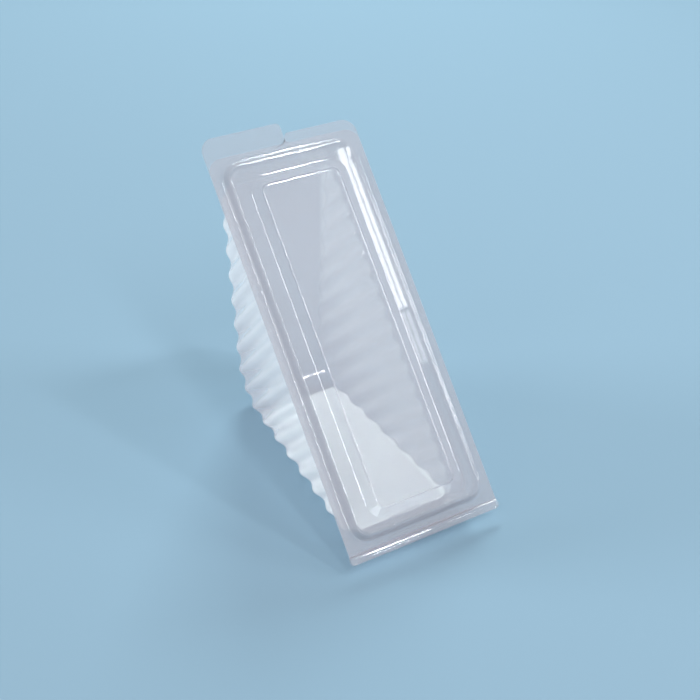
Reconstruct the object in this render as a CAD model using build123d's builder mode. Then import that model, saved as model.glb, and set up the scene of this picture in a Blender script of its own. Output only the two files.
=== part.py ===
from build123d import *
import math
import os

# Sandwich wedge pack: a deep right-angled tub and its lid, formed from one sheet of clear plastic.
# The pack stands on the tub's lower leg, with the lid sloping up at 45 degrees and its film
# hinge low at the front. X runs across the pack, Y to the back and Z up, in millimetres.
# Sizes of the lid are given along its slope, from the hinge crease, and square to it.

os.makedirs("parts", exist_ok=True)

# Sheet and flange
sheet = 0.35                 # thickness of the formed sheet
flange_width = 75.0
flange_length = 180.6        # from the hinge crease to the opening edge
opening_corner = 6.5         # corner radius of both flanges at the opening edge

# Opening tabs, side by side on the opening edge
tab_step = 2.0               # where the two tabs meet, right of the middle
tub_tab_reach = 10.0
lid_tab_reach = 4.7
tab_round = 2.2              # rounding of the step between the tabs

# Film hinge, a loop of sheet that bulges past the creases of the two flanges
hinge_reach = 3.8
hinge_rise = 1.3             # how far each half of the loop stands off the flanges' joint
hinge_corner = 1.5           # corner radius at the ends of the loop

# Lid: a raised frame, a flat margin and a raised panel
frame_side_margin = 4.3      # flange left outside the frame
frame_end_margin = 3.3
frame_height = 3.2
frame_run = 2.4              # how far the frame's wall leans in over its height
frame_corner = 8.0
panel_side_margin = 7.1      # flat between the frame's top edge and the panel's slope
panel_hinge_margin = 4.4
panel_tab_margin = 7.1
panel_rise = 2.0
panel_run = 4.8
panel_corner = 8.0
lid_round = 0.9              # rounding of the lid's formed edges

# Tub: rim bead, smooth band, ribbed side walls and two flat legs at a right angle
bead_clearance = 0.3         # between the rim bead and the lid's frame
bead_height = 2.0
mouth_inset = 3.1            # from the frame's foot to the tub's mouth
mouth_corner = 7.0           # corner radius of the walls, from the mouth down
band_depth = 17.0            # smooth band under the flange, before the ribs start
draft = 4.0                  # lean of the tub's walls, in degrees
foot_drop = 11.5             # how far past the flange's ends the planes of the legs cut the lid's plane
apex_radius = 22.0
rib_pitch = 9.87
rib_depth = 1.8              # from crest to valley
rib_setback = 0.05           # crests lie this far inside the band's face

# The lower leg rests on z = 0, and the middle of its flat stretch is the origin
mid_length = flange_length / 2
apex_depth = mid_length + foot_drop
foot_start = (foot_drop + 2 * (frame_end_margin + mouth_inset)) / math.sqrt(2)
foot_end = (mid_length + apex_depth) / math.sqrt(2) - apex_radius
crease_back = -(foot_start + foot_end) / 2
crease_height = foot_drop / math.sqrt(2)
joint = Plane(origin=(0, crease_back, crease_height), x_dir=(1, 0, 0), z_dir=(0, -1, 1))
profile = Plane(origin=joint.origin, x_dir=joint.y_dir, z_dir=joint.x_dir)
square = Axis(joint.origin, joint.z_dir)


def flange_sketch(tab_side, tab_reach):
    """Outline of one flange, with its tab on the left (-1) or the right (1) of the step."""
    side = flange_width / 2 * tab_side
    with BuildSketch() as outline:
        with BuildLine():
            Polyline(
                (-side, 0), (side, 0), (side, flange_length + tab_reach),
                (tab_step, flange_length + tab_reach), (tab_step, flange_length),
                (-side, flange_length), close=True,
            )
        make_face()
        fillet(outline.vertices().filter_by(lambda v: abs(v.X - tab_step) < 0.01), tab_round)
        outer = outline.vertices().filter_by(lambda v: abs(v.X) > flange_width / 2 - 0.01)
        fillet(outer.filter_by(lambda v: v.Y > mid_length), opening_corner)
    return outline.sketch


def raised_block(low, rise, run, side, hinge_end, tab_end, corner, skin=0.0):
    """Block that stands on a rounded rectangle and leans in by run. With a skin it is the
    inner side of a formed sheet, parallel to the block and a skin below its surface."""
    inset = skin * math.tan(math.pi / 4 - math.atan(run / rise) / 2)
    middle = (0, (hinge_end + flange_length - tab_end) / 2)
    with BuildPart() as block:
        for height, lean in ((low, 0.0), (low + rise, run)):
            gap = inset + lean
            with BuildSketch(joint.offset(height - skin)):
                with Locations(middle):
                    RectangleRounded(
                        flange_width - 2 * (side + gap),
                        flange_length - hinge_end - tab_end - 2 * gap,
                        max(corner - gap, sheet),
                    )
        loft(ruled=True)
    return block.part


def frame_block(skin):
    """The lid's frame, up to its flat margin."""
    return raised_block(
        sheet, frame_height, frame_run, frame_side_margin, frame_end_margin, frame_end_margin,
        frame_corner, skin,
    )


def panel_block(skin):
    """The lid's raised panel, on the flat margin of the frame."""
    return raised_block(
        sheet + frame_height, panel_rise, panel_run,
        frame_side_margin + frame_run + panel_side_margin,
        frame_end_margin + frame_run + panel_hinge_margin,
        frame_end_margin + frame_run + panel_tab_margin,
        panel_corner, skin,
    )


def bead_block(skin):
    """The tub's rim bead, which fills the lid's frame but for its clearance."""
    lean = math.atan(frame_run / frame_height)
    gap = sheet * math.tan(math.pi / 4 - lean / 2) + bead_clearance / math.cos(lean)
    return raised_block(
        0.0, bead_height, bead_height * math.tan(lean), frame_side_margin + gap,
        frame_end_margin + gap, frame_end_margin + gap, frame_corner - gap, skin,
    )


def rib_cutter(hand, inset):
    """Takes the valleys out of one side wall (hand is -1 or 1), along the lean of that wall."""
    wall = flange_width / 2 - frame_side_margin - mouth_inset - inset
    crest = wall - (band_depth + bead_height) * math.tan(math.radians(draft)) - rib_setback
    ribs_each_way = math.ceil(mid_length / rib_pitch)
    first = mid_length - (ribs_each_way + 0.25) * rib_pitch
    last = mid_length + (ribs_each_way + 0.25) * rib_pitch
    outside = hand * flange_width / 2
    middle = -hand * rib_depth / 2
    lean = joint.x_dir * (hand * math.tan(math.radians(draft)))
    shelf = Plane(
        origin=joint.from_local_coords((hand * crest, 0, -band_depth)),
        x_dir=joint.x_dir - joint.z_dir * (lean.length * hand), z_dir=joint.z_dir + lean,
    )
    with BuildPart() as cutter:
        with BuildSketch(shelf):
            with BuildLine():
                for rib in range(2 * ribs_each_way + 1):
                    start = first + rib * rib_pitch
                    ThreePointArc(
                        (middle, start), (0, start + rib_pitch / 4), (middle, start + rib_pitch / 2),
                    )
                    if rib < 2 * ribs_each_way:
                        ThreePointArc(
                            (middle, start + rib_pitch / 2),
                            (2 * middle, start + rib_pitch * 3 / 4),
                            (middle, start + rib_pitch),
                        )
                Polyline((middle, last), (outside, last), (outside, first), (middle, first))
            make_face()
        extrude(amount=-apex_depth)
    return cutter.part


def tapered(start, end):
    """Corners of a section through the tub's walls, which lean in towards the apex."""
    lean = (apex_depth + bead_height) * math.tan(math.radians(draft))
    return [
        (start, bead_height), (end, bead_height), (end - lean, -apex_depth),
        (start + lean, -apex_depth),
    ]


def wedge_form(inset):
    """The tub's outer form, or its inner form at an inset of one sheet."""
    half_width = flange_width / 2 - frame_side_margin - mouth_inset - inset
    end = frame_end_margin + mouth_inset + inset
    leg = foot_drop + bead_height - inset * math.sqrt(2)
    across = Plane(origin=joint.origin, x_dir=joint.x_dir, z_dir=-joint.y_dir)
    with BuildPart() as form:
        with BuildSketch(profile) as legs:
            with BuildLine():
                Polyline(
                    (-leg, bead_height), (flange_length + leg, bead_height),
                    (mid_length, bead_height - mid_length - leg), close=True,
                )
            make_face()
            fillet(legs.vertices().sort_by(Axis.Y)[0], apex_radius - inset)
            with BuildLine():
                Polyline(tapered(end, flange_length - end), close=True)
            make_face(mode=Mode.INTERSECT)
        extrude(amount=flange_width, both=True)
        with BuildSketch(across):
            with BuildLine():
                Polyline(tapered(-half_width, half_width), close=True)
            make_face()
        extrude(amount=-flange_length, mode=Mode.INTERSECT)
        upright = math.cos(math.radians(2 * draft))
        corners = form.edges().filter_by(lambda e: abs(e.tangent_at(0.5).dot(joint.z_dir)) > upright)
        fillet(corners, mouth_corner - inset)
        add(rib_cutter(-1, inset), mode=Mode.SUBTRACT)
        add(rib_cutter(1, inset), mode=Mode.SUBTRACT)
    return form.part


def hinge_half(hand):
    """Half of the film hinge's loop, above (1) or below (-1) the joint of the flanges."""
    with BuildPart() as half:
        with BuildSketch(profile):
            with BuildLine():
                ThreePointArc(
                    (0, hand * sheet), (-hinge_reach / 2, hand * hinge_rise), (-hinge_reach, 0),
                )
                Line((-hinge_reach, 0), (sheet - hinge_reach, 0))
                ThreePointArc(
                    (sheet - hinge_reach, 0), (-hinge_reach / 2, hand * (hinge_rise - sheet)), (0, 0),
                )
                Line((0, 0), (0, hand * sheet))
            make_face()
        extrude(amount=flange_width / 2, both=True)
        with BuildSketch(joint) as ends:
            Rectangle(flange_width, 2 * hinge_reach)
            fillet(ends.vertices(), hinge_corner)
        extrude(amount=hinge_rise, both=True, mode=Mode.INTERSECT)
    return half.part


def level(form, index):
    """Flat face of a form parallel to the flanges, counted from below."""
    return form.faces().filter_by(square).sort_by(square)[index]


def lid_form(skin):
    """The lid's outer side on its flange, or with a skin its inner side on a slab below it."""
    with BuildPart() as form:
        with BuildSketch(joint.offset(-skin)):
            add(flange_sketch(1, lid_tab_reach))
        extrude(amount=sheet)
        add(frame_block(skin))
        add(panel_block(skin))
        fillet(level(form, 1).inner_wires()[0].edges(), lid_round + skin)
        fillet(level(form, 2).inner_wires()[0].edges(), lid_round + skin)
        fillet(level(form, 2).outer_wire().edges(), lid_round - skin)
        fillet(level(form, 3).outer_wire().edges(), lid_round - skin)
    return form.part


# Lid: a thin formed sheet, hollow under its frame and its panel
with BuildPart() as lid:
    add(lid_form(0))
    add(lid_form(sheet), mode=Mode.SUBTRACT)
    add(hinge_half(1))
lid.part.label = "lid"

# Tub: flange, rim bead and ribbed wedge, open at the lid
with BuildPart() as tub:
    with BuildSketch(joint.offset(-sheet)):
        add(flange_sketch(-1, tub_tab_reach))
    extrude(amount=sheet)
    add(bead_block(0))
    add(bead_block(sheet), mode=Mode.SUBTRACT)
    add(wedge_form(0))
    add(wedge_form(sheet), mode=Mode.SUBTRACT)
    add(hinge_half(-1))
tub.part.label = "tub"

for piece in (lid, tub):
    export_step(piece.part, f"parts/{piece.part.label}.step")
    box = piece.part.bounding_box()
    print(piece.part.label, len(piece.part.solids()), "solid,", round(piece.part.volume), "mm3", box)
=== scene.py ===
import math
import bpy
from mathutils import Matrix, Vector


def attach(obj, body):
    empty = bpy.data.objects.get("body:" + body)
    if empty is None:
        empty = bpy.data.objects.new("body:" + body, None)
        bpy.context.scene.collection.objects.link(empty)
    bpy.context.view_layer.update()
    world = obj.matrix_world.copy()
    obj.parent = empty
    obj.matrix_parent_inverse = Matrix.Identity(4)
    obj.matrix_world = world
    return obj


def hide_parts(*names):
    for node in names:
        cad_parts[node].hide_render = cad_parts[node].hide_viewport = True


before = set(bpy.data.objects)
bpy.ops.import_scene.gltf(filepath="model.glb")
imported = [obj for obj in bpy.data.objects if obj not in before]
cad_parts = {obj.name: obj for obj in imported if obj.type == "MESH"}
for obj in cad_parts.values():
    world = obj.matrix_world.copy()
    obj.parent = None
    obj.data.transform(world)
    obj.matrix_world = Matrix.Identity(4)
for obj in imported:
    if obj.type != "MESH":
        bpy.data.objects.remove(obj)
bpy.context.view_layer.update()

# A clear sandwich wedge pack: the lid and the tub are each one thin formed sheet.
# Sizes are in millimetres in the lid's own directions: x across, v up the lid from the
# hinge crease, and n square to it, outwards. toRow turns them into metres in the row frame.

packSizes = dict(
    flangeWidth=75.0,       # across the pack
    flangeLength=180.6,     # from the hinge crease to the opening edge
    sheet=0.35,             # thickness of the formed sheet
    sheetShown=0.32,        # thickness drawn, a little less, so that lid and tub stay apart
    openingCorner=6.5,      # corner radius at the opening edge
    tabStep=2.0,            # where the two tabs meet, right of the middle
    tabRound=2.2,           # rounding of the step between them
    creaseBack=-65.509,     # the hinge crease in the row frame
    creaseHeight=8.132,
)

loopSteps = dict(
    firstV=15.5, lastV=165.1,  # the straight sides run between these
    side=182,                  # steps along each side, about 12 to a rib
    corner=10,                 # steps round each corner, an even number
    end=40,                    # steps across each end
    tabTurn=5,                 # steps in each rounding between the tabs
    hingeTurn=8.0,             # the corner steps run this far along the hinge's crease
    cornerGap=0.2,             # the straight sides stop this far short of their corners
)

root2 = math.sqrt(2)


def toRow(x, v, n):
    y = (v - n) / root2 + packSizes["creaseBack"]
    z = (v + n) / root2 + packSizes["creaseHeight"]
    return Vector((x, y, z)) / 1000


def sideRuns(low=0.0, high=1000.0):
    # v of the steps along a straight side, which is shorter where its corners reach further in
    steps = loopSteps["side"]
    first, last = max(loopSteps["firstV"], low), min(loopSteps["lastV"], high)
    return [first + (last - first) * i / steps for i in range(steps + 1)]


def cornerArc(centreX, centreV, radius, start, steps):
    # points and outward directions on a quarter turn that starts at an angle in degrees
    arc = []
    for i in range(steps + 1):
        angle = math.radians(start + 90 * i / steps)
        out = (math.cos(angle), math.sin(angle))
        arc.append((centreX + radius * out[0], centreV + radius * out[1], out[0], out[1]))
    return arc


def roundedLoop(halfWidth, low, high, radius):
    # (x, v, outward x, outward v) round a rounded rectangle, from the right side upwards
    gap = radius + loopSteps["cornerGap"]
    runs = sideRuns(low + gap, high - gap)
    loop = [(halfWidth, v, 1.0, 0.0) for v in runs]
    steps, across = loopSteps["corner"], loopSteps["end"]
    inner = halfWidth - radius
    loop += cornerArc(inner, high - radius, radius, 0, steps)
    loop += [(inner - 2 * inner * i / across, high, 0.0, 1.0) for i in range(1, across)]
    loop += cornerArc(-inner, high - radius, radius, 90, steps)
    loop += [(-halfWidth, v, -1.0, 0.0) for v in reversed(runs)]
    loop += cornerArc(-inner, low + radius, radius, 180, steps)
    loop += [(-inner + 2 * inner * i / across, low, 0.0, -1.0) for i in range(1, across)]
    loop += cornerArc(inner, low + radius, radius, 270, steps)
    return loop


def flangeOutline(leftReach, rightReach):
    # the flange's edge on the same steps, with a tab of its own reach on each side of the step
    half, length = packSizes["flangeWidth"] / 2, packSizes["flangeLength"]
    corner, turn, step = packSizes["openingCorner"], packSizes["tabRound"], packSizes["tabStep"]
    steps, across = loopSteps["corner"], loopSteps["end"]
    right, left = length + rightReach, length + leftReach
    edge = [(half, v) for v in sideRuns()]
    edge += [p[:2] for p in cornerArc(half - corner, right - corner, corner, 0, steps)]
    rise = 1 if left > right else -1
    tabTurn = loopSteps["tabTurn"]
    straight = across - 1 - (2 * (tabTurn + 1) + 1)  # steps left for the tabs' own edges
    run = straight // 2
    start, stop = half - corner, step + turn
    edge += [(start + (stop - start) * i / (run + 1), right) for i in range(1, run + 1)]
    for i in range(tabTurn + 1):  # from the right edge into the step
        angle = math.radians(90 * i / tabTurn)
        edge.append((stop - turn * math.sin(angle), right + rise * turn * (1 - math.cos(angle))))
    edge.append((step, (left + right) / 2))
    for i in range(tabTurn + 1):  # out of the step along the left edge
        angle = math.radians(90 * i / tabTurn)
        edge.append((step - turn * (1 - math.cos(angle)), left - rise * turn * (1 - math.sin(angle))))
    rest = straight - run
    start, stop = step - turn, -half + corner
    edge += [(start + (stop - start) * i / (rest + 1), left) for i in range(1, rest + 1)]
    edge += [p[:2] for p in cornerArc(-half + corner, left - corner, corner, 90, steps)]
    edge += [(-half, v) for v in reversed(sideRuns())]
    turnIn, halfSteps, low = loopSteps["hingeTurn"], steps // 2, loopSteps["firstV"]
    edge += [(-half, low * (halfSteps - i) / (halfSteps + 1)) for i in range(halfSteps)]
    edge += [(-half + turnIn * i / halfSteps, 0.0) for i in range(halfSteps + 1)]
    inner = half - turnIn
    edge += [(-inner + 2 * inner * i / across, 0.0) for i in range(1, across)]
    edge += [(inner + turnIn * i / halfSteps, 0.0) for i in range(halfSteps + 1)]
    edge += [(half, low * i / (halfSteps + 1)) for i in range(1, halfSteps + 1)]
    return edge


def roundedProfile(corners, steps=4):
    # corners is a list of (inset, n, radius), and the result runs through them with each rounded off
    points = [corners[0][:2]]
    most = 0.45  # share of a straight stretch that one rounding may take
    for before, here, after in zip(corners, corners[1:], corners[2:]):
        bend, radius = Vector(here[:2]), here[2]
        a, b = Vector(before[:2]) - bend, Vector(after[:2]) - bend
        back = min(radius / math.tan(a.angle(b) / 2), most * a.length, most * b.length)
        first, last = bend + a.normalized() * back, bend + b.normalized() * back
        for i in range(steps + 1):
            t = i / steps
            spot = first.lerp(bend, t).lerp(bend.lerp(last, t), t)
            points.append((spot.x, spot.y))
    points.append(corners[-1][:2])
    return points


class SheetMesh:
    # gathers rows of points of one formed sheet, and makes its mesh
    def __init__(self):
        self.points, self.faces = [], []

    def add(self, row):
        first = len(self.points)
        self.points += [toRow(*point) for point in row]
        return list(range(first, first + len(row)))

    def join(self, outer, inner, closed=True):
        count = len(outer)
        for i in range(count if closed else count - 1):
            j = (i + 1) % count
            self.faces.append((outer[i], outer[j], inner[j], inner[i]))

    def build(self, name, flip):
        mesh = bpy.data.meshes.new(name)
        faces = [face[::-1] for face in self.faces] if flip else self.faces
        mesh.from_pydata([tuple(point) for point in self.points], [], faces)
        mesh.validate()
        mesh.update()
        piece = bpy.data.objects.new(name, mesh)
        bpy.context.collection.objects.link(piece)
        return piece


def fillAcross(sheet, ring, edge, levelAt):
    # rows across the inside of a loop, from the hinge end to the opening end, at n = levelAt(v)
    sides, steps, across = loopSteps["side"], loopSteps["corner"], loopSteps["end"]
    total = len(ring)
    rightTop = sides + 1 + steps                       # last step of the upper right corner
    leftTop = rightTop + across                        # first step of the upper left corner
    leftLow = leftTop + steps + 1 + sides + 1 + steps  # last step of the lower left corner
    previous = ring[leftLow:leftLow + across + 1]
    left, right = leftLow - 1, leftLow + across + 1
    while left > leftTop:
        a, b = edge[left], edge[right % total]
        inner = []
        for i in range(1, across):
            t = i / across
            v = a[1] + (b[1] - a[1]) * t
            inner.append((a[0] + (b[0] - a[0]) * t, v, levelAt(v)))
        row = [ring[left], *sheet.add(inner), ring[right % total]]
        sheet.join(previous, row, closed=False)
        previous = row
        left, right = left - 1, right + 1
    last = ring[rightTop:leftTop + 1][::-1]
    sheet.join(previous, last, closed=False)


hingeSizes = dict(
    reach=3.8,         # how far the loop bulges past the creases
    rise=1.3,          # how far each half stands off the joint of the flanges
    corner=1.5,        # corner radius at the loop's ends
    gap=0.03,          # each half stays this far off the joint, so that they don't touch
    steps=12,
)


def addHingeHalf(sheet, outline, ring, hand):
    # half of the film hinge's loop, from the crease to its outer tip
    half = packSizes["flangeWidth"] / 2
    last = [i for i, point in enumerate(outline) if abs(point[1]) < 1e-9]
    reach, rise, corner = hingeSizes["reach"], hingeSizes["rise"], hingeSizes["corner"]
    low = packSizes["sheet"]
    row = [ring[i] for i in last]
    # the arc runs through the crease, the loop's highest point and its tip
    radius, centreV, centreN = arcThrough((0, low), (-reach / 2, rise), (-reach, 0.0))
    start = math.atan2(low - centreN, -centreV)
    stop = math.atan2(-centreN, -reach - centreV)
    if stop < start:
        stop += 2 * math.pi
    for i in range(1, hingeSizes["steps"] + 1):
        angle = start + (stop - start) * i / hingeSizes["steps"]
        v, n = centreV + radius * math.cos(angle), centreN + radius * math.sin(angle)
        short = max(0.0, corner - (v + reach))
        width = half - corner + math.sqrt(max(corner * corner - short * short, 0.0))
        level = hand * max(n, hingeSizes["gap"])
        new = sheet.add([(outline[j][0] * width / half, v, level) for j in last])
        sheet.join(new, row, closed=False)
        row = new


def arcThrough(a, b, c):
    # radius and centre of the circle through three points
    d = 2 * (a[0] * (b[1] - c[1]) + b[0] * (c[1] - a[1]) + c[0] * (a[1] - b[1]))
    square = [p[0] ** 2 + p[1] ** 2 for p in (a, b, c)]
    x = (square[0] * (b[1] - c[1]) + square[1] * (c[1] - a[1]) + square[2] * (a[1] - b[1])) / d
    y = (square[0] * (c[0] - b[0]) + square[1] * (a[0] - c[0]) + square[2] * (b[0] - a[0])) / d
    return math.hypot(a[0] - x, a[1] - y), x, y


lidSizes = dict(
    tabReach=4.7,
    frameSide=4.3, frameEnd=3.3,                    # flange left outside the frame
    frameHeight=3.2, frameRun=2.4, frameCorner=8.0,
    panelSide=7.1, panelHinge=4.4, panelTab=7.1,    # flat between the frame and the panel
    panelRise=2.0, panelRun=4.8, panelCorner=8.0,
    frameRound=1.1, panelRound=2.4,                 # rounding of the bends
    lead=2.0,                                       # flat drawn outside the frame's foot
    rest=2.5,                                       # flat drawn inside the panel's edge
    leastCorner=0.6,
)


def buildLid():
    size, sheet = lidSizes, SheetMesh()
    half, length, skin = packSizes["flangeWidth"] / 2, packSizes["flangeLength"], packSizes["sheet"]
    top = size["frameSide"] + size["frameRun"]
    foot = top + size["panelSide"]
    margin = skin + size["frameHeight"]
    profile = roundedProfile([
        (size["frameSide"] - size["lead"], skin, 0), (size["frameSide"], skin, size["frameRound"]),
        (top, margin, size["frameRound"]), (foot, margin, size["panelRound"]),
        (foot + size["panelRun"], margin + size["panelRise"], size["panelRound"]),
        (foot + size["panelRun"] + size["rest"], margin + size["panelRise"], 0),
    ])
    outline = flangeOutline(0.0, size["tabReach"])
    ring = edgeRing = sheet.add([(x, v, skin) for x, v in outline])
    for inset, n in profile:
        share = min(max((inset - top) / (foot - top), 0.0), 1.0)
        ends = inset - size["frameSide"] + size["frameEnd"]
        hingeEnd = ends + share * (size["panelHinge"] - size["panelSide"])
        tabEnd = ends + share * (size["panelTab"] - size["panelSide"])
        if inset < top:
            corner = size["frameCorner"] - (inset - size["frameSide"])
        elif inset < foot:
            corner = size["frameCorner"] - size["frameRun"]
            corner += share * (size["panelCorner"] - corner)
        else:
            corner = size["panelCorner"] - (inset - foot)
        corner = max(corner, size["leastCorner"])
        loop = roundedLoop(half - inset, hingeEnd, length - tabEnd, corner)
        new = sheet.add([(x, v, n) for x, v, _, _ in loop])
        sheet.join(ring, new)
        ring = new
    fillAcross(sheet, ring, loop, lambda v: n)
    addHingeHalf(sheet, outline, edgeRing, 1)
    return sheet.build("lidSheet", flip=False)


tubSizes = dict(
    tabReach=10.0,
    lead=2.0,                                   # flat drawn outside the bead's foot
    beadFoot=5.025, beadTop=6.525, mouth=7.4,   # insets of the bead and the mouth from the flange's side
    beadHeight=1.65,                            # underside of the rim bead
    beadRound=0.3,
    beadCorner=12.3,                            # the bead's corner radius and its inset together
    lipLevel=0.9, lipRun=0.05,                  # the mouth's inner lip ends here, and leans in so far
    endLess=1.0,                                # both ends are set in by this much less than the sides
    mouthCorner=7.0, leastCorner=0.4,
    draft=4.0,                                  # lean of the walls, in degrees
    leanFrom=2.0,                               # n where the walls start to lean in
    footDrop=11.5, apexRadius=22.0,
    legRound=1.3, legSteps=5,                   # rounding between the legs and the walls
    wallRows=22,                                # rows in the walls below the band
    bandRows=(-3.0, -9.0, -14.0, -16.4, -16.9, -17.2, -17.5, -17.8, -18.1, -18.5, -19.2, -21.0),
)


def legLevel(v, inset):
    # n of the legs' outer side at v, or of a side parallel to it further in, and the way into the tub
    middle = packSizes["flangeLength"] / 2
    radius = tubSizes["apexRadius"] - inset
    depth = middle + tubSizes["footDrop"] - tubSizes["apexRadius"] * root2
    off = v - middle
    if abs(off) < radius / root2:
        inward = (-off / radius, math.sqrt(1 - (off / radius) ** 2))
        return -depth - math.sqrt(radius * radius - off * off), inward
    short = v if off < 0 else packSizes["flangeLength"] - v
    hand = 1 if off < 0 else -1
    return -(short + tubSizes["footDrop"]) + inset * root2, (hand / root2, 1 / root2)


def wallInset(n):
    # how far the side walls have leaned in at a depth
    return (tubSizes["leanFrom"] - n) * math.tan(math.radians(tubSizes["draft"]))


def tubLoop(n, extra=0.0):
    # the tub's walls at a depth, set in by extra
    inset = tubSizes["mouth"] + wallInset(n) + extra
    ends = inset - tubSizes["endLess"]
    return roundedLoop(
        packSizes["flangeWidth"] / 2 - inset, ends, packSizes["flangeLength"] - ends,
        max(tubSizes["mouthCorner"] - extra, tubSizes["leastCorner"]),
    )


def wallSteps(levels, extra=0.0):
    # one step of the walls' loop for each depth in levels, which has one depth for each step
    loops = {}
    steps = []
    for i, n in enumerate(levels):
        key = round(n, 4)
        if key not in loops:
            loops[key] = tubLoop(n, extra)
        steps.append(loops[key][i])
    return steps


def buildTub():
    size, sheet = tubSizes, SheetMesh()
    half, length, skin = packSizes["flangeWidth"] / 2, packSizes["flangeLength"], packSizes["sheet"]
    outline = flangeOutline(size["tabReach"], 0.0)
    ring = edgeRing = sheet.add([(x, v, -skin) for x, v in outline])
    bead = size["beadHeight"]
    profile = roundedProfile([
        (size["beadFoot"] - size["lead"], -skin, 0), (size["beadFoot"], -skin, size["beadRound"]),
        (size["beadTop"], bead, size["beadRound"]), (size["mouth"], bead, size["beadRound"]),
        (size["mouth"] + size["lipRun"], size["lipLevel"], 0),
    ], steps=3)
    for inset, n in profile:
        ends, corner = inset - size["endLess"], size["mouthCorner"]
        if inset < size["beadTop"]:
            corner = min(size["beadCorner"] - inset, corner)
        loop = roundedLoop(half - inset, ends, length - ends, corner)
        new = sheet.add([(x, v, n) for x, v, _, _ in loop])
        sheet.join(ring, new)
        ring = new
    # where the rounding between a wall and a leg has its centre, for each step of the loop: the
    # walls lean in with the depth, so each round of this comes nearer
    turn = size["legRound"]
    firstGuess, rounds = -40.0, 12
    centres = [firstGuess] * len(tubLoop(0.0))
    for _ in range(rounds):
        centres = [legLevel(v, turn)[0] for _, v, _, _ in wallSteps(centres, turn)]
    fixed, rows = size["bandRows"], size["wallRows"]
    top, total = fixed[0], len(fixed) + rows
    levels = [
        [max(fixed[row], top + (n - top) * row / total) for n in centres] for row in range(len(fixed))
    ]
    start = levels[-1]
    for row in range(1, rows + 2):
        levels.append([a + (n - a) * row / (rows + 1) for a, n in zip(start, centres)])
    for row in levels:
        new = sheet.add([(x, v, n) for (x, v, _, _), n in zip(wallSteps(row), row)])
        sheet.join(ring, new)
        ring = new
    arcs = [
        (Vector((x, v, n)), Vector((outX, outV, 0.0)), Vector((0.0, *legLevel(v, turn)[1])))
        for (x, v, outX, outV), n in zip(wallSteps(centres, turn), centres)
    ]
    for step in range(1, size["legSteps"] + 1):
        angle = math.radians(90 - 90 * step / size["legSteps"])
        edge = []
        for centre, out, inward in arcs:
            way = out * math.sin(angle) - inward * math.cos(angle)
            edge.append(tuple(centre + way.normalized() * turn))
        new = sheet.add(edge)
        sheet.join(ring, new)
        ring = new
    fillAcross(sheet, ring, edge, lambda v: legLevel(v, 0.0)[0])
    addHingeHalf(sheet, outline, edgeRing, -1)
    return sheet.build("tubSheet", flip=True)


class Reading:
    # one socket of a node tree, so that sums of sockets can be written as plain sums
    def __init__(self, tree, socket):
        self.tree, self.socket = tree, socket

    def sum(self, operation, *values):
        made = self.tree.nodes.new("ShaderNodeMath")
        made.operation = operation
        for place, value in zip(made.inputs, values):
            plug(self.tree, place, value)
        return Reading(self.tree, made.outputs[0])

    def __add__(self, other): return self.sum("ADD", self, other)
    def __radd__(self, other): return self.sum("ADD", other, self)
    def __sub__(self, other): return self.sum("SUBTRACT", self, other)
    def __rsub__(self, other): return self.sum("SUBTRACT", other, self)
    def __mul__(self, other): return self.sum("MULTIPLY", self, other)
    def __rmul__(self, other): return self.sum("MULTIPLY", other, self)
    def __truediv__(self, other): return self.sum("DIVIDE", self, other)
    def __rtruediv__(self, other): return self.sum("DIVIDE", other, self)


def plug(tree, place, value):
    # links a reading or a socket to an input, or sets the input's own value
    if isinstance(value, Reading):
        value = value.socket
    if isinstance(value, bpy.types.NodeSocket):
        tree.links.new(value, place)
    else:
        place.default_value = value


def addNode(tree, kind, settings=None, **values):
    # settings come first, because they decide which sockets a node shows, and a value's name is
    # its socket's name, or i and the socket's number
    made = tree.nodes.new(kind)
    for name, value in (settings or {}).items():
        setattr(made, name, value)
    for name, value in values.items():
        byNumber = name[0] == "i" and name[1:].isdigit()
        plug(tree, made.inputs[int(name[1:]) if byNumber else name], value)
    return made


def smoothShare(value, low, high):
    # 0 at low and 1 at high, with a soft start and end, and low may be the larger one
    made = addNode(
        value.tree, "ShaderNodeMapRange", dict(interpolation_type="SMOOTHSTEP", clamp=True),
        i0=value, i1=low, i2=high, i3=0.0, i4=1.0,
    )
    return Reading(value.tree, made.outputs[0])


def splitPlace(tree, place):
    # a place's x, y and z in metres, and its v up the lid and n outwards in millimetres
    split = addNode(tree, "ShaderNodeSeparateXYZ", None, i0=place)
    x, y, z = (Reading(tree, split.outputs[i]) for i in range(3))
    back = (y * 1000 - packSizes["creaseBack"]) / root2
    up = (z * 1000 - packSizes["creaseHeight"]) / root2
    return x, y, z, up + back, up - back


ribSizes = {
    "Rib pitch": 9.87,       # along the flange
    "Rib depth": 1.8,        # from crest to valley
    "Crest set in": 0.05,    # crests lie this far inside the band's face
    "Middle": 90.3,          # a crest lies here, half way up the flange
    "Band end": -16.9,       # n where the smooth band ends and the ribs start
    "Rib start": 1.5,        # n over which a rib comes to its full depth
}


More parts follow.
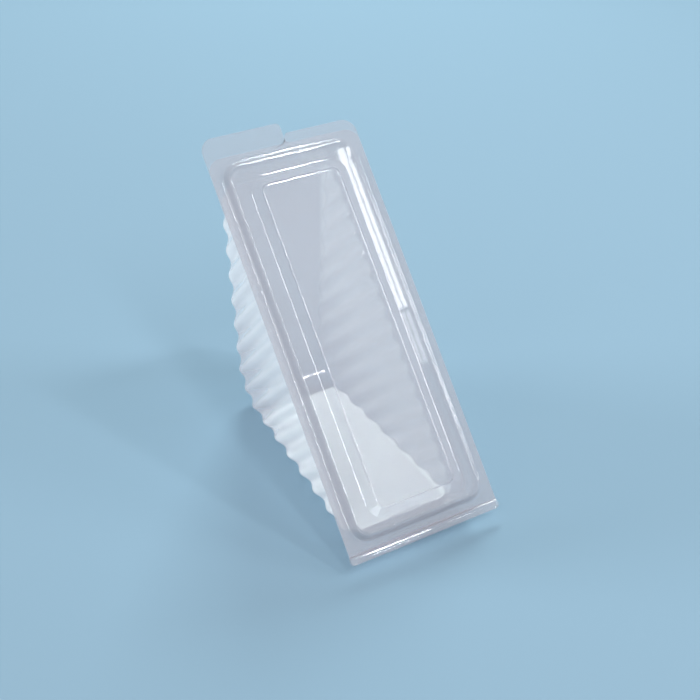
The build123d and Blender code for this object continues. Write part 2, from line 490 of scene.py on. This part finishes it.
def makeRibTree():
    # draws the side walls in to the ribs' valleys, along the draw direction
    tree = bpy.data.node_groups.new("wallRibs", "GeometryNodeTree")
    add = tree.interface.new_socket
    add("Geometry", in_out="INPUT", socket_type="NodeSocketGeometry")
    add("Geometry", in_out="OUTPUT", socket_type="NodeSocketGeometry")
    for name, value in ribSizes.items():
        add(name, in_out="INPUT", socket_type="NodeSocketFloat").default_value = value
    add("Finish", in_out="INPUT", socket_type="NodeSocketMaterial")
    asked = tree.nodes.new("NodeGroupInput").outputs
    size = {name: Reading(tree, asked[name]) for name in ribSizes}
    x, y, z, v, n = splitPlace(tree, addNode(tree, "GeometryNodeInputPosition").outputs[0])
    turn = (v - size["Middle"]) / size["Rib pitch"] * (2 * math.pi)
    wave = 0.5 - 0.5 * turn.sum("COSINE", turn)
    below = smoothShare(n, size["Band end"], size["Band end"] - size["Rib start"])
    half = packSizes["flangeWidth"] / 2 - tubSizes["mouth"]
    wall = half - wallInset(n)
    drawnIn = below * (size["Crest set in"] + wave * size["Rib depth"])
    spot = addNode(tree, "ShaderNodeCombineXYZ", i0=x * (1.0 - drawnIn / wall), i1=y, i2=z)
    moved = addNode(
        tree, "GeometryNodeSetPosition", Geometry=asked["Geometry"], Position=spot.outputs[0],
    )
    real = addNode(tree, "GeometryNodeRealizeInstances", Geometry=moved.outputs[0])
    painted = addNode(
        tree, "GeometryNodeSetMaterial", Geometry=real.outputs[0], Material=asked["Finish"],
    )
    shown = tree.nodes.new("NodeGroupOutput")
    tree.links.new(painted.outputs[0], shown.inputs[0])
    return tree


def pressRibs(piece, material):
    ribs = piece.modifiers.new("ribs", "NODES")
    ribs.node_group = makeRibTree()
    for item in ribs.node_group.interface.items_tree:
        if item.in_out == "INPUT" and item.name in ribSizes:
            ribs[item.identifier] = ribSizes[item.name]
        elif item.name == "Finish":
            ribs[item.identifier] = material


def keptForm(piece):
    # the piece's mesh with its modifiers worked in
    state = bpy.context.evaluated_depsgraph_get()
    mesh = bpy.data.meshes.new_from_object(piece.evaluated_get(state))
    bpy.data.objects.remove(piece)
    return mesh


finishSizes = dict(
    sharpFrom=40.0,    # bends tighter than this, in degrees, are shaded as edges
    flatWeight=90,     # how firmly flats stay flat beside their roundings
)


def finishSheet(piece, name, material, body):
    # gives the surface its thickness, inwards, and keeps the result as one plain mesh
    wall = piece.modifiers.new("thickness", "SOLIDIFY")
    wall.thickness = packSizes["sheetShown"] / 1000
    wall.offset = -1.0
    wall.use_even_offset = True
    wall.use_quality_normals = True
    mesh = keptForm(piece)
    mesh.polygons.foreach_set("use_smooth", [True] * len(mesh.polygons))
    mesh.set_sharp_from_angle(angle=math.radians(finishSizes["sharpFrom"]))
    piece = bpy.data.objects.new("shaded", mesh)
    bpy.context.collection.objects.link(piece)
    even = piece.modifiers.new("shading", "WEIGHTED_NORMAL")
    even.weight = finishSizes["flatWeight"]
    even.keep_sharp = True
    mesh = keptForm(piece)
    mesh.name = name
    mesh.materials.clear()
    mesh.materials.append(material)
    done = bpy.data.objects.new(name, mesh)
    bpy.context.collection.objects.link(done)
    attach(done, body)
    return done


plasticLook = dict(
    milk=(0.665, 0.63, 0.66, 1.0),     # colour of the faint haze in the sheet
    wallPaintedLight=(0.97, 0.98, 0.98, 1.0),  # its paler colour in the drawn side walls: painted light, standing in for light thrown round inside the tub
    paintedShade=(0.26, 0.28, 0.35, 1.0),     # colour of the painted shade and painted dark reflections on the sheet's steep and bent places
    slopeShadePainted=0.3,                      # how far the frame's walls take the painted dark reflection
    creaseShadePainted=0.6,                     # how far the panel's edge takes the painted dark reflection
    foldShadePainted=0.55,                      # how far the fold line of the film hinge takes the painted shade
    haze=0.26,                         # share of light that each side of the flat sheet scatters
    drawnHazeAndLight=0.14,                    # how much the deep drawn tub adds to it, partly its own haze and partly painted light
    wallPaintedHaze=0.07,                     # how much its ribbed side walls add to that, which shows more of their painted light
    ribPaintedShade=0.02,                      # how far it swings between the ribs' crests and valleys: painted shade in stripes along the ribs
    hazeSpread=0.05,                   # how far the haze drifts over the sheet
    paintedShadeHaze=0.3,                       # how much of the painted shade also thickens the haze
    driftScale=28.0,                   # how finely the haze drifts
    hazeRough=0.45,                    # roughness of the haze's own faint sheen
    through=0.35,                      # share of the haze that lights up from behind
    shadowPass=0.34,                   # share of light that the sheet lets by, above its clearness
    gloss=0.03,                        # roughness of the shiny surface
    mirrorFront=0.055,                 # share of light mirrored where the sheet faces the eye
    mirrorEdge=0.94,                   # share added to it at a grazing angle
    waver=0.000004,                    # depth of the drawn sheet's slow waves, in metres
    waverScale=55.0,                   # how close together they lie
)

# Where the bends and the walls lie, which carry the painted shade, painted dark reflections and painted
# light, as places where a share starts and where it is full, by n above the flanges' joint, v up the lid
# and x to either side. All are in millimetres but x.
lookPlaces = dict(
    drawn=(-1.0, -8.0),                # n: the tub's depth
    slopeLow=(0.45, 0.8),              # n: the foot of the frame's slope
    slopeHigh=(3.5, 3.1),              # n: its top
    slopeEnd=(1.0, 3.0),               # v: it leaves the film hinge out
    creaseLow=(5.2, 5.35),             # n: the upper bend of the panel's edge
    creaseHigh=(5.545, 5.50),
    fold=(0.55, 0.2),                  # v to either side: the fold line of the film hinge
    wallSide=(0.022, 0.026),           # x, in metres: the side walls
    wallTop=(-16.0, -19.0),            # n: where their ribs start
)


def makeClearPlastic(name):
    # haze lies under a clear gloss, and the gloss mirrors alike from both sides of the sheet
    look, place = plasticLook, lookPlaces
    material = bpy.data.materials.new(name)
    material.use_nodes = True
    tree = material.node_tree
    tree.nodes.clear()
    spot = addNode(tree, "ShaderNodeTexCoord").outputs["Object"]
    drift = Reading(tree, addNode(
        tree, "ShaderNodeTexNoise", None, Vector=spot, Scale=look["driftScale"], Detail=3.0,
        Roughness=0.5,
    ).outputs[0])
    waves = Reading(tree, addNode(
        tree, "ShaderNodeTexNoise", None, Vector=spot, Scale=look["waverScale"], Detail=1.0,
        Roughness=0.4,
    ).outputs[0])
    bent = addNode(
        tree, "ShaderNodeBump", None, Strength=0.35, Distance=look["waver"], Height=waves,
    ).outputs[0]
    weight = addNode(tree, "ShaderNodeLayerWeight", None, Blend=0.5, Normal=bent)
    facing = Reading(tree, weight.outputs["Facing"])
    mirrored = look["mirrorFront"] + facing.sum("POWER", facing, 5.0) * look["mirrorEdge"]

    x, _, _, v, n = splitPlace(tree, spot)
    drawn = smoothShare(n, *place["drawn"])
    # painted dark reflections on the frame's walls and the panel's upper edge, and painted shade along
    # the film hinge's fold line
    slope = smoothShare(n, *place["slopeLow"]) * smoothShare(n, *place["slopeHigh"])
    slope = slope * smoothShare(v, *place["slopeEnd"])
    crease = smoothShare(n, *place["creaseLow"]) * smoothShare(n, *place["creaseHigh"])
    fold = smoothShare(v.sum("ABSOLUTE", v), *place["fold"])
    # the side walls get a paler haze, which is painted light, with painted shade in stripes between the
    # ribs' crests and valleys
    wall = smoothShare(x.sum("ABSOLUTE", x), *place["wallSide"]) * smoothShare(n, *place["wallTop"])
    turn = (v - ribSizes["Middle"]) / ribSizes["Rib pitch"] * (2 * math.pi)
    ribPaintedSwing = wall * turn.sum("COSINE", turn)
    # how far the sheet's colour is taken to the painted shade at these bends
    paintedShadeShare = slope * look["slopeShadePainted"] + crease * look["creaseShadePainted"] + fold * look["foldShadePainted"]
    # the drawn tub's thicker haze is partly the sheet's own haze and partly painted light
    milky = look["haze"] + drawn * look["drawnHazeAndLight"] + (drift - 0.5) * (2 * look["hazeSpread"])
    milky = milky + (paintedShadeShare + fold) * look["paintedShadeHaze"]
    milky = milky + ribPaintedSwing * look["ribPaintedShade"] + wall * look["wallPaintedHaze"]

    colours = dict(data_type="RGBA")
    # the sheet's milk colour, with the side walls' painted light and then the painted shade of the bends
    # laid over it
    milkAndPaintedLight = addNode(tree, "ShaderNodeMix", colours, i0=wall, i6=look["milk"], i7=look["wallPaintedLight"])
    milkAndPaintedLight = addNode(tree, "ShaderNodeMix", colours, i0=paintedShadeShare, i6=milkAndPaintedLight.outputs[2], i7=look["paintedShade"])
    clear = addNode(tree, "ShaderNodeBsdfTransparent", None, Color=(1.0, 1.0, 1.0, 1.0))
    body = addNode(tree, "ShaderNodeBsdfPrincipled", None, **{
        "Base Color": milkAndPaintedLight.outputs[2], "Roughness": look["hazeRough"],
        "Specular IOR Level": 0.0, "Normal": bent,
    })
    shine = addNode(tree, "ShaderNodeBsdfPrincipled", None, **{
        "Base Color": (1.0, 1.0, 1.0, 1.0), "Metallic": 1.0, "Roughness": look["gloss"],
        "Normal": bent,
    })
    through = addNode(tree, "ShaderNodeBsdfTranslucent", None, Color=look["milk"], Normal=bent)

    def mix(share, first, second):
        return addNode(
            tree, "ShaderNodeMixShader", None, i0=share, i1=first.outputs[0], i2=second.outputs[0],
        )

    hazy = mix(milky, clear, mix(look["through"], body, through))
    shadow = Reading(tree, addNode(tree, "ShaderNodeLightPath").outputs["Is Shadow Ray"])
    done = mix(shadow * look["shadowPass"], mix(mirrored, hazy, shine), clear)
    addNode(tree, "ShaderNodeOutputMaterial", None, Surface=done.outputs[0])
    return material


clearPlastic = makeClearPlastic("clearPlastic")

lid = finishSheet(buildLid(), "lidSheet", clearPlastic, "lid")
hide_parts("lid")
print("lid formed with", len(lid.data.polygons), "faces")
tubForm = buildTub()
pressRibs(tubForm, clearPlastic)
tub = finishSheet(tubForm, "tubSheet", clearPlastic, "tub")
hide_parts("tub")
print("tub formed with", len(tub.data.polygons), "faces")


setting = dict(
    floorColour=(0.244, 0.372, 0.478, 1.0),
    backdropColour=(0.33, 0.515, 0.66, 1.0),
    floorSize=6.0,                       # metres
    fadeStart=0.6, fadeEnd=1.3,          # between these distances the floor fades into the backdrop
    airLight=0.28,                       # strength of the plain light from all sides
    cameraPlace=(-0.2264, -0.3849, 0.3764),
    cameraForward=(0.4143, 0.7049, -0.5758),
    cameraUp=(0.2803, 0.5030, 0.8175),
    lens=63.17,
)

# Each lamp's place and target in metres, its width and height, its power in watts and its colour
studioLamps = dict(
    frontKey=((0.01, -0.80, 1.09), (0, 0, 0.06), 0.12, 0.6, 4.2),
    frontLow=((-0.35, -1.5, 0.5), (0, 0, 0.03), 0.8, 0.5, 1.2),
    rightKey=((0.97, -0.52, 0.75), (0, 0, 0.06), 0.25, 0.6, 4.6),
    leftBox=((-1.04, -0.26, 0.79), (0, 0, 0.06), 0.7, 0.7, 2.0),
    leftBack=((-2.08, 1.46, 0.6), (0, 0, 0.06), 1.0, 0.6, 54.0),
    backBox=((0.58, 0.98, 0.974), (0, 0, 0), 0.46, 0.34, 13.0, (0.9, 1.0, 0.98)),
    apexSpot=((0.4865, -0.35, 1.141), (0.005, 0.06, 0.004), 0.06, 0.12, 3.0),
)

# Two slim lamps, each in two parts, are mirrored as the white stripe on the lid's right margin.
# They hang along the lid at a height square to it, and all measures are in metres.
tubeLamps = dict(
    height=0.9036,
    glow=7.0,                                                       # watts to a square metre, over pi
    lines=dict(tubeNear=(0.4955, 0.0115), tubeFar=(0.508, 0.007)),  # x and width
    parts=dict(Upper=(0.205, 0.43, 1.0), Lower=(0.13, 0.2, 0.35)),  # v from, v to, share of the glow
    crease=(-0.0655, 0.0081),                                       # y and z of the hinge crease
)


def makeFloor():
    half = setting["floorSize"] / 2
    mesh = bpy.data.meshes.new("floor")
    corners = [(-half, -half, 0), (half, -half, 0), (half, half, 0), (-half, half, 0)]
    mesh.from_pydata(corners, [], [(0, 1, 2, 3)])
    floor = bpy.data.objects.new("floor", mesh)
    bpy.context.collection.objects.link(floor)
    material = bpy.data.materials.new("paleFloor")
    material.use_nodes = True
    tree = material.node_tree
    tree.nodes.clear()
    place = addNode(tree, "ShaderNodeTexCoord").outputs["Object"]
    away = addNode(tree, "ShaderNodeVectorMath", dict(operation="LENGTH"), i0=place).outputs["Value"]
    fade = smoothShare(Reading(tree, away), setting["fadeStart"], setting["fadeEnd"])
    base = addNode(tree, "ShaderNodeBsdfPrincipled", None, **{
        "Base Color": setting["floorColour"], "Roughness": 0.9, "Specular IOR Level": 0.1,
    })
    gone = addNode(tree, "ShaderNodeBsdfTransparent", None, Color=(1.0, 1.0, 1.0, 1.0))
    both = addNode(tree, "ShaderNodeMixShader", None, i0=fade, i1=base.outputs[0], i2=gone.outputs[0])
    addNode(tree, "ShaderNodeOutputMaterial", None, Surface=both.outputs[0])
    mesh.materials.append(material)


def addLamp(name, place, target, width, height, power, colour=(1.0, 1.0, 1.0)):
    lamp = bpy.data.lights.new(name, "AREA")
    lamp.shape, lamp.size, lamp.size_y = "RECTANGLE", width, height
    lamp.energy, lamp.color = power, colour
    holder = bpy.data.objects.new(name, lamp)
    bpy.context.collection.objects.link(holder)
    holder.location = place
    ahead = Vector(target) - Vector(place)
    holder.rotation_euler = ahead.to_track_quat("-Z", "Y").to_euler()


def addTubeLamps():
    size = tubeLamps
    n, (creaseY, creaseZ) = size["height"], size["crease"]
    for line, (x, width) in size["lines"].items():
        for part, (low, high, share) in size["parts"].items():
            v = (low + high) / 2
            place = Vector((x, (v - n) / root2 + creaseY, (v + n) / root2 + creaseZ))
            power = size["glow"] * share * math.pi * width * (high - low)
            addLamp(line + part, place, place + Vector((0, 1, -1)), width, high - low, power)


def setAir():
    # plain light from all sides, and the backdrop's colour where it is seen or mirrored
    world = bpy.context.scene.world or bpy.data.worlds.new("room")
    bpy.context.scene.world = world
    world.use_nodes = True
    tree = world.node_tree
    tree.nodes.clear()
    air = addNode(
        tree, "ShaderNodeBackground", None, Color=(1.0, 1.0, 1.0, 1.0), Strength=setting["airLight"],
    )
    backdrop = addNode(
        tree, "ShaderNodeBackground", None, Color=setting["backdropColour"], Strength=1.0,
    )
    path = addNode(tree, "ShaderNodeLightPath")
    seen = Reading(tree, path.outputs["Is Camera Ray"]) + Reading(tree, path.outputs["Is Glossy Ray"])
    seen = seen + Reading(tree, path.outputs["Is Transmission Ray"])
    both = addNode(tree, "ShaderNodeMixShader", None, i0=seen, i1=air.outputs[0], i2=backdrop.outputs[0])
    addNode(tree, "ShaderNodeOutputWorld", None, Surface=both.outputs[0])


def setCamera():
    camera = bpy.data.cameras.new("camera")
    camera.lens, camera.sensor_width, camera.clip_start = setting["lens"], 36.0, 0.01
    holder = bpy.data.objects.new("camera", camera)
    bpy.context.collection.objects.link(holder)
    ahead = Vector(setting["cameraForward"]).normalized()
    up = Vector(setting["cameraUp"])
    right = ahead.cross(up).normalized()
    up = right.cross(ahead).normalized()
    turned = Matrix((right, up, -ahead)).transposed().to_4x4()
    holder.matrix_world = Matrix.Translation(setting["cameraPlace"]) @ turned
    bpy.context.scene.camera = holder


makeFloor()
for lampName, lampValues in studioLamps.items():
    addLamp(lampName, *lampValues)
addTubeLamps()
setAir()
print("studio set with", len(bpy.data.lights), "lamps")
setCamera()
bpy.context.scene.view_settings.view_transform = "Standard"
bpy.context.scene.cycles.transparent_max_bounces = 32
print("camera set")

bpy.context.view_layer.update()
